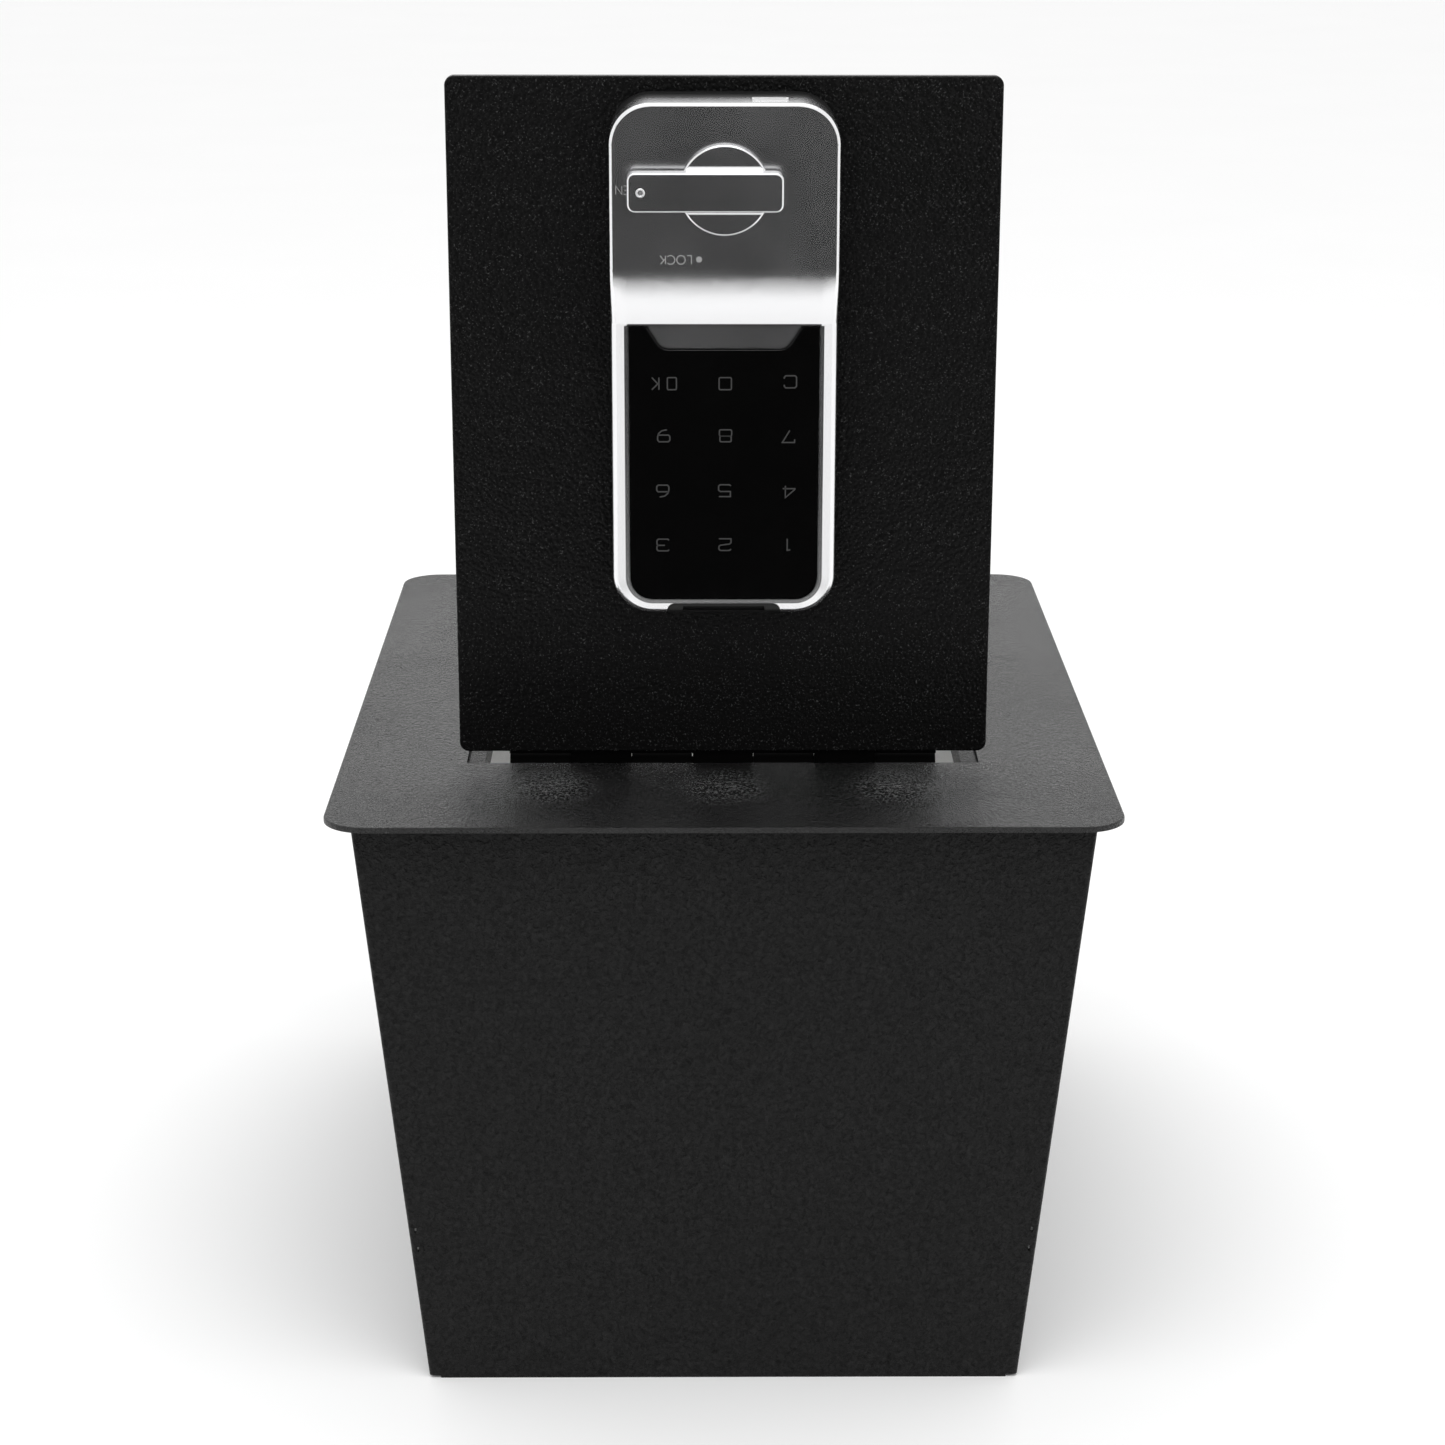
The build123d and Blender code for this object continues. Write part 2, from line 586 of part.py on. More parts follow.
def cell_columns():
    return [CELL_PITCH * (i - 1.5) for i in range(4)]


def battery_cells():
    cells = []
    for x in cell_columns():
        can = rod_y(CELL_R, x, CELL_S0, CELL_S1, CELL_N)
        can = fillet(can.edges(), CELL_ROUND)
        cap = rod_y(CELL_CAP_R, x, CELL_S1 - 1, CELL_S1 + CELL_CAP_LEN, CELL_N)
        cells.append((can + cap).solids()[0])
    return Compound(cells)


def battery_holder():
    tray = block(
        -HOLDER_HALF, HOLDER_HALF, HOLDER_S0, HOLDER_S1, GASKET + FIT, CELL_N
    )
    for x in cell_columns():
        tray -= rod_y(
            CELL_R + FIT, x, CELL_S0 - TROUGH_LOWER, CELL_S1 + TROUGH_UPPER, CELL_N
        )
    return tray


def battery_contacts():
    """Two leaf contacts at each end of the tray, each joining a pair of cells."""
    leaves = []
    lower = CELL_S0 - FIT - LEAF_THICK
    upper = CELL_S1 + CELL_CAP_LEN + FIT
    for x in (-CELL_PITCH, CELL_PITCH):
        for s in (lower, upper):
            leaf = block(x - LEAF_HALF, x + LEAF_HALF, s, s + LEAF_THICK, LEAF_N0, LEAF_N1)
            leaves.append(leaf.solids()[0])
    return Compound(leaves)


def battery_cover():
    """The sliding end cover: the housing's rounded end, with a grip groove and an inner tongue."""
    cover = lock_body() & plate(cover_outline(COVER_GAP), GASKET + COVER_GAP, KEYPAD_N + 1)
    groove_n = KEYPAD_N - GRIP_DEPTH
    cover -= block(-GRIP_HALF, GRIP_HALF, GRIP_S0, GRIP_S1, groove_n, KEYPAD_N + 1)
    return cover - block(
        -COVER_ROOM_HALF,
        COVER_ROOM_HALF,
        COVER_ROOM_S0,
        COVER_S1 + 1,
        COVER_ROOM_N0,
        COVER_ROOM_N1,
    )


def lock_motor():
    """The small motor that drives the blocking pin by a screw on its shaft."""
    base = PIN_N - MOTOR_H / 2
    can = block(
        -MOTOR_W / 2, MOTOR_W / 2, MOTOR_S0, MOTOR_S1, base, base + MOTOR_H
    )
    can = fillet(can.edges().filter_by(Axis.Y), MOTOR_R)
    can += rod_y(NOSE_R, 0, MOTOR_S1 - 1, MOTOR_S1 + NOSE_LEN, PIN_N)
    return can + rod_y(SCREW_R, 0, MOTOR_S1, MOTOR_S1 + MOTOR_SCREW_LEN, PIN_N)


def motor_bracket():
    """The saddle that holds the motor against the lock's floor."""
    s0, s1 = BRACKET_S0, BRACKET_S1
    bottom, top = PIN_N - MOTOR_H / 2, PIN_N + MOTOR_H / 2
    foot_n = GASKET + FIT
    half = MOTOR_W / 2
    outer = half + BRACKET_SIDE
    strap = block(-outer, outer, s0, s1, foot_n, top + BRACKET_TOP)
    room = block(-half, half, s0 - 1, s1 + 1, bottom, top)
    strap -= fillet(room.edges().filter_by(Axis.Y), MOTOR_R)
    reach = outer + FOOT_W
    return strap + block(-reach, reach, s0, s1, foot_n, foot_n + FOOT_T)


def blocking_pin():
    pin = rod_y(BLOCK_R, 0, BLOCK_S0, BLOCK_S1, PIN_N)
    pin = chamfer(pin.edges().group_by(Axis.Y)[-1], BLOCK_CHAMFER)
    return pin - rod_y(SCREW_BORE_R, 0, BLOCK_S0 - 1, BLOCK_S0 + BLOCK_BORE, PIN_N)


def spindle_bushing():
    bush = rod(BUSHING_R, 0, KNOB_S, -LID_T, 0)
    bush += rod(BUSHING_FLANGE_R, 0, KNOB_S, 0, BUSHING_FLANGE_T)
    return bush - rod(BUSHING_BORE_R, 0, KNOB_S, -LID_T - 1, BUSHING_FLANGE_T + 1)


# ---- Knob and latch, in lid coordinates ----


def knob_fairings():
    """Hollow roundings along the bar's sides, where they meet the disc."""
    half = BAR_W / 2
    foot, top = half + FAIRING, DISC_N1 + FAIRING
    hollow = FAIRING * math.sqrt(0.5)
    inner, sunk = half - EDGE, BAR_N0
    outline = make_face(
        [
            Line((inner, sunk), (foot, sunk)),
            Line((foot, sunk), (foot, DISC_N1)),
            ThreePointArc((foot, DISC_N1), (foot - hollow, top - hollow), (half, top)),
            Line((half, top), (inner, top)),
            Line((inner, top), (inner, sunk)),
        ]
    )
    across = Plane((0, KNOB_S, 0), x_dir=(0, 1, 0), z_dir=(1, 0, 0))
    upper = extrude(across * outline, DISC_R, both=True)
    lower = Pos(0, 2 * KNOB_S) * mirror(upper, about=Plane.XZ)
    return (upper + lower) & rod(DISC_R - EDGE, 0, KNOB_S, DISC_N0, top)


def knob():
    disc = rod(DISC_R, 0, KNOB_S, DISC_N0, DISC_N1)
    disc = fillet(disc.edges().group_by(Axis.Z)[-1], EDGE)
    middle = Pos((BAR_X0 + BAR_X1) / 2, KNOB_S, BAR_N0)
    outline = middle * RectangleRounded(BAR_X1 - BAR_X0, BAR_W, BAR_CORNER)
    bar = extrude(outline, BAR_N1 - BAR_N0, taper=BAR_TAPER)
    bar = fillet(bar.edges().group_by(Axis.Z)[-1], EDGE)
    grip = disc + bar + knob_fairings() + rod(HUB_R, 0, KNOB_S, HUB_N0, DISC_N0 + 1)
    return grip - rod(MARKER_R, MARKER_X, KNOB_S, BAR_N1 - MARKER_SINK, BAR_N1 + 1)


def knob_marker():
    """A small raised ring at the bar's end, which points at LOCK or OPEN."""
    base = BAR_N1 - MARKER_SINK
    ring = rod(MARKER_R, MARKER_X, KNOB_S, base, BAR_N1 + MARKER_PROUD)
    ring -= rod(MARKER_HOLE_R, MARKER_X, KNOB_S, base + MARKER_BASE, BAR_N1 + 1)
    return fillet(ring.edges().group_by(Axis.Z)[-1], MARKER_ROUND)


def spindle():
    cam_n1 = CAM_N0 - CAM_T
    shaft = rod(SPINDLE_R, 0, KNOB_S, CAM_N0, HUB_N0)
    square = Pos(0, KNOB_S) * Rectangle(CAM_SQUARE, CAM_SQUARE)
    shaft += plate(square, cam_n1, CAM_N0)
    return shaft + rod(THREAD_R, 0, KNOB_S, THREAD_END, cam_n1)


def locking_ring():
    """A notched disc on the spindle, which the blocking pin holds at either end of its turn."""
    ring = rod(LOCK_RING_R, 0, KNOB_S, LOCK_RING_N0, LOCK_RING_N1)
    reach = LOCK_RING_R + 1
    half = NOTCH_SLOT / 2
    n0, n1 = LOCK_RING_N0 - 1, LOCK_RING_N1 + 1
    ring -= block(-half, half, KNOB_S - reach, KNOB_S - NOTCH_ROOT_R, n0, n1)
    ring -= block(-reach, -NOTCH_ROOT_R, KNOB_S - half, KNOB_S + half, n0, n1)
    return ring - rod(SPINDLE_R, 0, KNOB_S, n0, n1)


def latch_cam():
    """The steel tongue that swings under the rim's front bar, here turned clear of it."""
    tail = CAM_W / 2
    length = CAM_REACH + tail
    middle = Pos(length / 2 - tail, KNOB_S)
    shape = middle * RectangleRounded(length, CAM_W, CAM_W / 2 - 0.05)
    shape -= Pos(0, KNOB_S) * Rectangle(CAM_SQUARE, CAM_SQUARE)
    cam = plate(shape, CAM_N0 - CAM_T, CAM_N0)
    return cam


def cam_washer():
    n1 = CAM_N0 - CAM_T
    ring = rod(WASHER_R, 0, KNOB_S, n1 - WASHER_T, n1)
    return ring - rod(THREAD_R, 0, KNOB_S, n1 - 2, n1 + 1)


def cam_nut():
    n1 = CAM_N0 - CAM_T - WASHER_T
    nut = plate(Pos(0, KNOB_S) * RegularPolygon(NUT_R, 6), n1 - NUT_T, n1)
    return nut - rod(THREAD_R, 0, KNOB_S, n1 - 5, n1 + 1)


tub_parts = {
    "top_plate": top_plate(),
    "rear_wall": end_wall(-TUB_D / 2, -TUB_D / 2 + SHEET),
    "front_wall": end_wall(TUB_D / 2 - SHEET, TUB_D / 2),
    "left_wall": side_wall(-1),
    "right_wall": side_wall(1),
    "floor_plate": floor_plate(),
    "flange_weld": flange_weld(),
    "rim_left": rim_side(-1),
    "rim_right": rim_side(1),
    "rim_front": rim_front(),
    "lining_floor": lining_floor(),
    "lining_left": lining_side(-1),
    "lining_right": lining_side(1),
    "lining_rear": lining_end(-1),
    "lining_front": lining_end(1),
    "hinge_leaf_fixed": hinge_leaf_fixed(),
    "hinge_pin": hinge_pin(),
}

lid_parts = {
    "hinge_leaf_moving": hinge_leaf_moving(),
    "lid_plate": lid_plate(),
    "lid_pan": lid_pan(),
    "lid_bumpers": lid_bumpers(),
    "lock_gasket": lock_gasket(),
    "lock_housing": lock_housing(),
    "lock_skirt": lock_skirt(),
    "lock_screws": lock_screws(),
    "power_port": power_port(),
    "keypad_glass": keypad_glass(),
    "keypad_board": keypad_board(),
    "battery_holder": battery_holder(),
    "battery_cells": battery_cells(),
    "battery_contacts": battery_contacts(),
    "battery_cover": battery_cover(),
    "lock_motor": lock_motor(),
    "motor_bracket": motor_bracket(),
    "blocking_pin": blocking_pin(),
    "spindle_bushing": spindle_bushing(),
    "knob": knob(),
    "knob_marker": knob_marker(),
    "spindle": spindle(),
    "locking_ring": locking_ring(),
    "latch_cam": latch_cam(),
    "cam_washer": cam_washer(),
    "cam_nut": cam_nut(),
}

for node, shape in tub_parts.items():
    save(node, shape)
for node, shape in lid_parts.items():
    save(node, shape, lid_place)
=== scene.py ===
import json
import math

import bpy
from mathutils import Matrix, Vector


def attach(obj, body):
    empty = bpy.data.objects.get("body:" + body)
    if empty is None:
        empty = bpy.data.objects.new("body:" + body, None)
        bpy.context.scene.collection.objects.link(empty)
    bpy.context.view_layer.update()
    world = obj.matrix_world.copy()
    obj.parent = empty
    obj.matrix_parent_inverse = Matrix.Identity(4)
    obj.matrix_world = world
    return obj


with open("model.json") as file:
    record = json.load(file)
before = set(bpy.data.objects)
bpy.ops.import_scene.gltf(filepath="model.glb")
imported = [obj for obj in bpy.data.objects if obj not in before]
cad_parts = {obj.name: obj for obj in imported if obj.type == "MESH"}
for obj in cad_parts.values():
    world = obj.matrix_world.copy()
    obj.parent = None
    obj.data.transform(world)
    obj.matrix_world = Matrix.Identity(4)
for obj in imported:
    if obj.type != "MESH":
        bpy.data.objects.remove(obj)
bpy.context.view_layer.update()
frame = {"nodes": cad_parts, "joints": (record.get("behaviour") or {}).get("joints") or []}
nodes = frame["nodes"]
joints = {j["name"]: j for j in frame["joints"]}

# Lid frame: x across the lid, s along it from the hinge, n out of its outer face.
HINGE = Vector(joints["lid_hinge"]["pos_m"])
N_DIR = Vector(joints["knob_turn"]["axis"]).normalized()
S_DIR = Vector(joints["blocking_pin_slide"]["axis"]).normalized()
X_DIR = Vector((1, 0, 0))
# From the hinge pin to the lid's rear edge, and to its outer face
LID_SETBACK = 0.005
LID_OUTER = 0.006
LID_ORIGIN = HINGE + S_DIR * LID_SETBACK + N_DIR * LID_OUTER
LID_TURN = Matrix((X_DIR, S_DIR, N_DIR)).transposed()


def lid_point(x, s, n):
    """A point given on the lid in millimetres, in the row frame."""
    return LID_ORIGIN + LID_TURN @ Vector((x, s, n)) / 1000


# ---- Node helpers ----


def add(tree, kind, values=None, **settings):
    made = tree.nodes.new(kind)
    for key, value in settings.items():
        setattr(made, key, value)
    for key, value in (values or {}).items():
        made.inputs[key].default_value = value
    return made


def link(tree, source, target):
    tree.links.new(source, target)


def start(name, **values):
    """A new material with its Principled shader's own sockets set."""
    material = bpy.data.materials.new(name)
    material.use_nodes = True
    tree = material.node_tree
    shader = tree.nodes["Principled BSDF"]
    for key, value in values.items():
        shader.inputs[key.replace("_", " ")].default_value = value
    place = add(tree, "ShaderNodeTexCoord")
    return material, tree, shader, place.outputs["Object"]


def noise(tree, place, scale, detail=2.0, rough=0.5, distortion=0.0):
    made = add(
        tree,
        "ShaderNodeTexNoise",
        {"Scale": scale, "Detail": detail, "Roughness": rough, "Distortion": distortion},
    )
    link(tree, place, made.inputs["Vector"])
    return made.outputs["Fac"]


def stretched(tree, place, scale):
    made = add(tree, "ShaderNodeMapping", {"Scale": scale})
    link(tree, place, made.inputs["Vector"])
    return made.outputs["Vector"]


def spread(tree, source, low, high, to_low, to_high):
    """Maps a value's band onto another, clamped."""
    made = add(
        tree,
        "ShaderNodeMapRange",
        {"From Min": low, "From Max": high, "To Min": to_low, "To Max": to_high},
    )
    link(tree, source, made.inputs["Value"])
    return made.outputs["Result"]


def math_node(tree, operation, *values):
    made = add(tree, "ShaderNodeMath", operation=operation)
    for socket, value in zip(made.inputs, values):
        if isinstance(value, (int, float)):
            socket.default_value = value
        else:
            link(tree, value, socket)
    return made.outputs[0]


def grey(value):
    return (value,) * 3


def tint(tree, factor, dark, light):
    """A colour between two constant ones."""
    made = add(tree, "ShaderNodeMix", data_type="RGBA")
    colours = [s for s in made.inputs if s.type == "RGBA"]
    colours[0].default_value = (*dark, 1)
    colours[1].default_value = (*light, 1)
    link(tree, factor, made.inputs[0])
    return [s for s in made.outputs if s.type == "RGBA"][0]


def blend(tree, factor, source, light):
    """A colour socket mixed towards a constant colour."""
    made = add(tree, "ShaderNodeMix", data_type="RGBA")
    colours = [s for s in made.inputs if s.type == "RGBA"]
    link(tree, source, colours[0])
    colours[1].default_value = (*light, 1)
    link(tree, factor, made.inputs[0])
    return [s for s in made.outputs if s.type == "RGBA"][0]


def bump(tree, shader, height, distance, below=None):
    """Raises the height by the distance in metres, over the bump below it."""
    made = add(tree, "ShaderNodeBump", {"Strength": 1.0, "Distance": distance})
    link(tree, height, made.inputs["Height"])
    if below is not None:
        link(tree, below, made.inputs["Normal"])
    link(tree, made.outputs["Normal"], shader.inputs["Normal"])
    return made.outputs["Normal"]


def edge_mask(tree, radius):
    """1 where the surface turns within the radius, as along a worn edge."""
    soft = add(tree, "ShaderNodeBevel", {"Radius": radius}, samples=4)
    true = add(tree, "ShaderNodeNewGeometry")
    dot = add(tree, "ShaderNodeVectorMath", operation="DOT_PRODUCT")
    link(tree, soft.outputs["Normal"], dot.inputs[0])
    link(tree, true.outputs["Normal"], dot.inputs[1])
    return spread(tree, dot.outputs["Value"], 0.999, 0.8, 0.0, 1.0)


# ---- Materials: noise scales are per metre, bump depths in metres ----

# Where and how light flecks are painted into the flange's colour as glints and highlights,
# thickest over the hinge welds
PATCH_PITCH, PATCH_Y, PATCH_HALF_X, PATCH_HALF_Y = 0.046, -0.1035, 0.0105, 0.014
PATCH_REACH = 1.9
GLINT_SCALE, GLINT_GREY, GLINT_SHARE = 1250.0, 0.13, 0.35


def squared(tree, value, radius):
    return math_node(tree, "POWER", math_node(tree, "DIVIDE", value, radius), 2.0)


def weld_highlight_spots(tree, place):
    """Three soft spots over the welds that hold the hinge, where highlights are painted into
    the colour: 1 in the middle, 0 outside.
    """
    split = add(tree, "ShaderNodeSeparateXYZ")
    link(tree, place, split.inputs[0])
    x, y = split.outputs["X"], split.outputs["Y"]
    folded = math_node(tree, "WRAP", x, PATCH_PITCH / 2, -PATCH_PITCH / 2)
    across = squared(tree, folded, PATCH_HALF_X)
    along = squared(tree, math_node(tree, "SUBTRACT", y, PATCH_Y), PATCH_HALF_Y)
    away = math_node(tree, "ADD", across, along)
    near = spread(tree, away, PATCH_REACH, 0.0, 0.0, 1.0)
    size = math_node(tree, "ABSOLUTE", x)
    inside = math_node(tree, "LESS_THAN", size, 1.5 * PATCH_PITCH)
    return math_node(tree, "MULTIPLY", near, inside)


def glint_flecked(tree, place, colour):
    """Light flecks painted into the colour as glints and highlights, thick over the weld
    patches and thin elsewhere.
    """
    glint_noise = noise(tree, place, GLINT_SCALE, 2.0, 0.7)
    thick_glints = spread(tree, glint_noise, 0.46, 0.62, 0.0, 1.0)
    thin_glints = spread(tree, glint_noise, 0.64, 0.76, 0.0, GLINT_SHARE)
    glints_over_welds = math_node(tree, "MULTIPLY", thick_glints, weld_highlight_spots(tree, place))
    return blend(tree, math_node(tree, "MAXIMUM", glints_over_welds, thin_glints), colour, grey(GLINT_GREY))


def coat(name, specular, peel, grain, dark, light, rough, squeeze=1.0, painted_glints=False):
    """Textured powder coat: a soft orange peel under a fine grain, each a scale and a depth.
    Its colour follows the peel, with painted shade in the hollows and painted highlight on the
    crowns.
    """
    material, tree, shader, place = start(name, Specular_IOR_Level=specular, IOR=1.5)
    narrowed = stretched(tree, place, (squeeze, 1.0, 1.0))
    soft = noise(tree, narrowed, peel[0], 3.0, 0.55, 0.9)
    fine = noise(tree, narrowed, grain[0], 2.0, 0.6)
    drift = noise(tree, place, 14.0, 3.0, 0.55)
    # Base colour darker in the peel's hollows and lighter on its crowns: painted shade and
    # highlight
    colour = tint(tree, spread(tree, soft, 0.3, 0.7, 0, 1), grey(dark), grey(light))
    # Light flecks painted into the colour as glints and highlights
    if painted_glints:
        colour = glint_flecked(tree, place, colour)
    link(tree, colour, shader.inputs["Base Color"])
    uneven = math_node(
        tree,
        "ADD",
        spread(tree, drift, 0.35, 0.65, rough - 0.04, rough + 0.04),
        spread(tree, fine, 0.3, 0.7, -0.05, 0.05),
    )
    link(tree, uneven, shader.inputs["Roughness"])
    first = bump(tree, shader, soft, peel[1])
    bump(tree, shader, fine, grain[1], below=first)
    return material


def lid_coat():
    """Black powder coat with a close pebble of about 1 mm and sparse light flecks painted into
    its colour as glints.
    """
    material, tree, shader, place = start("lid_coat", Specular_IOR_Level=0.1, IOR=1.5)
    grain = noise(tree, place, 1150.0, 2.0, 0.55, 0.4)
    pebble = add(tree, "ShaderNodeTexVoronoi", {"Scale": 900.0, "Randomness": 1.0})
    link(tree, place, pebble.inputs["Vector"])
    drift = noise(tree, place, 18.0, 3.0, 0.6)
    # Sparse light flecks in the colour: painted glints
    glint_noise = noise(tree, place, 1900.0, 2.0, 0.7)
    glint_colour = tint(tree, spread(tree, glint_noise, 0.6, 0.8, 0, 1), grey(0.004), grey(0.075))
    link(tree, glint_colour, shader.inputs["Base Color"])
    link(tree, spread(tree, drift, 0.35, 0.65, 0.2, 0.28), shader.inputs["Roughness"])
    first = bump(tree, shader, grain, 0.0001)
    bump(tree, shader, pebble.outputs["Distance"], -0.00018, below=first)
    return material


def satin_metal(name, colour, rough, grain_depth=0.000004, scratch=0.0):
    """Brushed or plated metal, smoother along its edges. scratch is the brush lines' depth."""
    material, tree, shader, place = start(name, Metallic=1.0)
    cloud = noise(tree, place, 60.0, 4.0, 0.6)
    fine = noise(tree, place, 6000.0, 2.0, 0.6)
    dark = tuple(c * 0.97 for c in colour)
    link(tree, tint(tree, cloud, dark, colour), shader.inputs["Base Color"])
    uneven = math_node(
        tree,
        "ADD",
        spread(tree, cloud, 0.3, 0.7, rough - 0.01, rough + 0.01),
        spread(tree, fine, 0.3, 0.7, -0.015, 0.015),
    )
    worn = math_node(tree, "MULTIPLY", edge_mask(tree, 0.0006), rough * 0.4)
    link(tree, math_node(tree, "SUBTRACT", uneven, worn), shader.inputs["Roughness"])
    below = bump(tree, shader, fine, grain_depth)
    if scratch:
        lines = noise(tree, stretched(tree, place, (1.0, 30.0, 30.0)), 300.0, 3.0, 0.6)
        bump(tree, shader, lines, scratch, below=below)
    return material


def black_glass():
    """Smoked glass with faint smears along it."""
    material, tree, shader, place = start("black_glass", Specular_IOR_Level=0.5, IOR=1.5)
    cloud = noise(tree, place, 90.0, 4.0, 0.6)
    link(tree, tint(tree, cloud, grey(0.0012), grey(0.0025)), shader.inputs["Base Color"])
    smear = noise(tree, stretched(tree, place, (1.0, 1.0, 0.25)), 260.0, 4.0, 0.6)
    link(tree, spread(tree, smear, 0.4, 0.75, 0.03, 0.08), shader.inputs["Roughness"])
    bump(tree, shader, cloud, 0.00001)
    return material


def moulded(name, dark, light, rough, grain=2600.0, depth=0.00004, specular=0.4):
    """Moulded plastic, rubber or paint, with a fine spark grain."""
    material, tree, shader, place = start(name, Specular_IOR_Level=specular)
    spark = noise(tree, place, grain, 2.0, 0.6)
    cloud = noise(tree, place, 45.0, 4.0, 0.6)
    link(tree, tint(tree, cloud, dark, light), shader.inputs["Base Color"])
    uneven = spread(tree, spark, 0.3, 0.7, rough - 0.06, rough + 0.06)
    link(tree, uneven, shader.inputs["Roughness"])
    bump(tree, shader, spark, depth)
    return material


def felt():
    """Pale felt lining with a short uneven pile."""
    material, tree, shader, place = start(
        "felt", Specular_IOR_Level=0.2, Sheen_Weight=0.4, Sheen_Roughness=0.6
    )
    pile = noise(tree, place, 1900.0, 4.0, 0.7, 1.2)
    cloud = noise(tree, place, 40.0, 4.0, 0.6)
    mixed = math_node(
        tree,
        "ADD",
        math_node(tree, "MULTIPLY", pile, 0.6),
        math_node(tree, "MULTIPLY", cloud, 0.4),
    )
    shade = spread(tree, mixed, 0.35, 0.65, 0, 1)
    colour = tint(tree, shade, (0.88, 0.88, 0.87), (0.97, 0.97, 0.96))
    link(tree, colour, shader.inputs["Base Color"])
    link(tree, spread(tree, pile, 0.3, 0.7, 0.85, 1.0), shader.inputs["Roughness"])
    bump(tree, shader, pile, 0.0003)
    return material


def board():
    """Green circuit board with a grid of tracks."""
    material, tree, shader, place = start("board", Specular_IOR_Level=0.5)
    squares = add(
        tree,
        "ShaderNodeTexBrick",
        {
            "Scale": 150.0,
            "Color1": (0.02, 0.13, 0.06, 1),
            "Color2": (0.025, 0.17, 0.08, 1),
            "Mortar": (0.05, 0.26, 0.12, 1),
            "Mortar Size": 0.03,
        },
    )
    link(tree, stretched(tree, place, (1.0, 0.2, 1.0)), squares.inputs["Vector"])
    link(tree, squares.outputs["Color"], shader.inputs["Base Color"])
    cloud = noise(tree, place, 800.0, 2.0)
    link(tree, spread(tree, cloud, 0.3, 0.7, 0.25, 0.4), shader.inputs["Roughness"])
    bump(tree, shader, squares.outputs["Fac"], 0.00003)
    return material


BODY_COAT = coat(
    "body_coat",
    specular=0.14,
    peel=(820.0, 0.0011),
    grain=(1900.0, 0.0004),
    dark=0.0,
    light=0.014,
    rough=0.3,
)
FLANGE_COAT = coat(
    "flange_coat",
    specular=0.52,
    peel=(700.0, 0.0028),
    grain=(1700.0, 0.0006),
    dark=0.0,
    light=0.005,
    rough=0.21,
    squeeze=1.7,
    # light flecks painted in as glints, thickest over the welds
    painted_glints=True,
)
CHROME_TINT = (0.88, 0.88, 0.89)
MARKER_TINT = (0.95, 0.95, 0.96)
ZINC_TINT = (0.62, 0.62, 0.63)
BRASS_TINT = (0.78, 0.6, 0.32)
JACKET_DARK, JACKET_LIGHT = (0.05, 0.05, 0.055), (0.08, 0.08, 0.09)
PRINT_GRAIN = {"grain": 3000.0, "depth": 0.000005, "specular": 0.2}
LEGEND = moulded("legend_grey", grey(0.035), grey(0.05), 0.5, **PRINT_GRAIN)
PRINT = moulded("print_grey", grey(0.27), grey(0.33), 0.5, **PRINT_GRAIN)
FLANGE_AND_PORT = {
    "top_plate": FLANGE_COAT,
    "power_port": satin_metal("port_steel", grey(0.93), 0.5),
}

FINISH = {
    "black_powder_coat": BODY_COAT,
    "black_lid_coat": lid_coat(),
    "black_hinge": moulded(
        "hinge_coat", grey(0.0015), grey(0.003), 0.7, grain=1800.0, depth=0.00006, specular=0.04
    ),
    "pale_lining": felt(),
    "black_rubber": moulded(
        "rubber", grey(0.006), grey(0.011), 0.75, grain=1500.0, depth=0.00005, specular=0.3
    ),
    "satin_chrome": satin_metal("satin_chrome", CHROME_TINT, 0.205),
    "marker_chrome": satin_metal("marker_chrome", MARKER_TINT, 0.3),
    "zinc_steel": satin_metal("zinc_steel", ZINC_TINT, 0.32, 0.00001, scratch=0.00002),
    "brass_part": satin_metal("brass", BRASS_TINT, 0.28, 0.00001, scratch=0.00001),
    "black_glass": black_glass(),
    "circuit_board": board(),
    "black_plastic": moulded("black_plastic", grey(0.006), grey(0.012), 0.42),
    "battery_jacket": moulded(
        "jacket", JACKET_DARK, JACKET_LIGHT, 0.25, grain=900.0, depth=0.00001, specular=0.5
    ),
}
SLOT_OF = {
    "hinge_leaf_fixed": "black_hinge",
    "hinge_leaf_moving": "black_hinge",
    "hinge_pin": "black_hinge",
    "lid_plate": "black_lid_coat",
    "lid_pan": "black_lid_coat",
    "lid_bumpers": "black_rubber",
    "lock_skirt": "black_plastic",
    "lock_gasket": "black_rubber",
    "lock_housing": "satin_chrome",
    "knob": "satin_chrome",
    "knob_marker": "marker_chrome",
    "keypad_glass": "black_glass",
    "keypad_board": "circuit_board",
    "battery_holder": "black_plastic",
    "battery_cover": "black_plastic",
    "motor_bracket": "black_plastic",
    "battery_cells": "battery_jacket",
    "spindle_bushing": "brass_part",
    "blocking_pin": "brass_part",
    "lock_screws": "zinc_steel",
    "power_port": "zinc_steel",
    "battery_contacts": "zinc_steel",
    "lock_motor": "zinc_steel",
    "spindle": "zinc_steel",
    "locking_ring": "zinc_steel",
    "latch_cam": "zinc_steel",
    "cam_washer": "zinc_steel",
    "cam_nut": "zinc_steel",
}
for name in nodes:
    if name.startswith("lining"):
        SLOT_OF[name] = "pale_lining"
for name, obj in nodes.items():
    finish = FINISH[SLOT_OF.get(name, "black_powder_coat")]
    obj.data.materials.clear()
    obj.data.materials.append(FLANGE_AND_PORT.get(name, finish))


# ---- Printed legends, as thin raised strokes ----


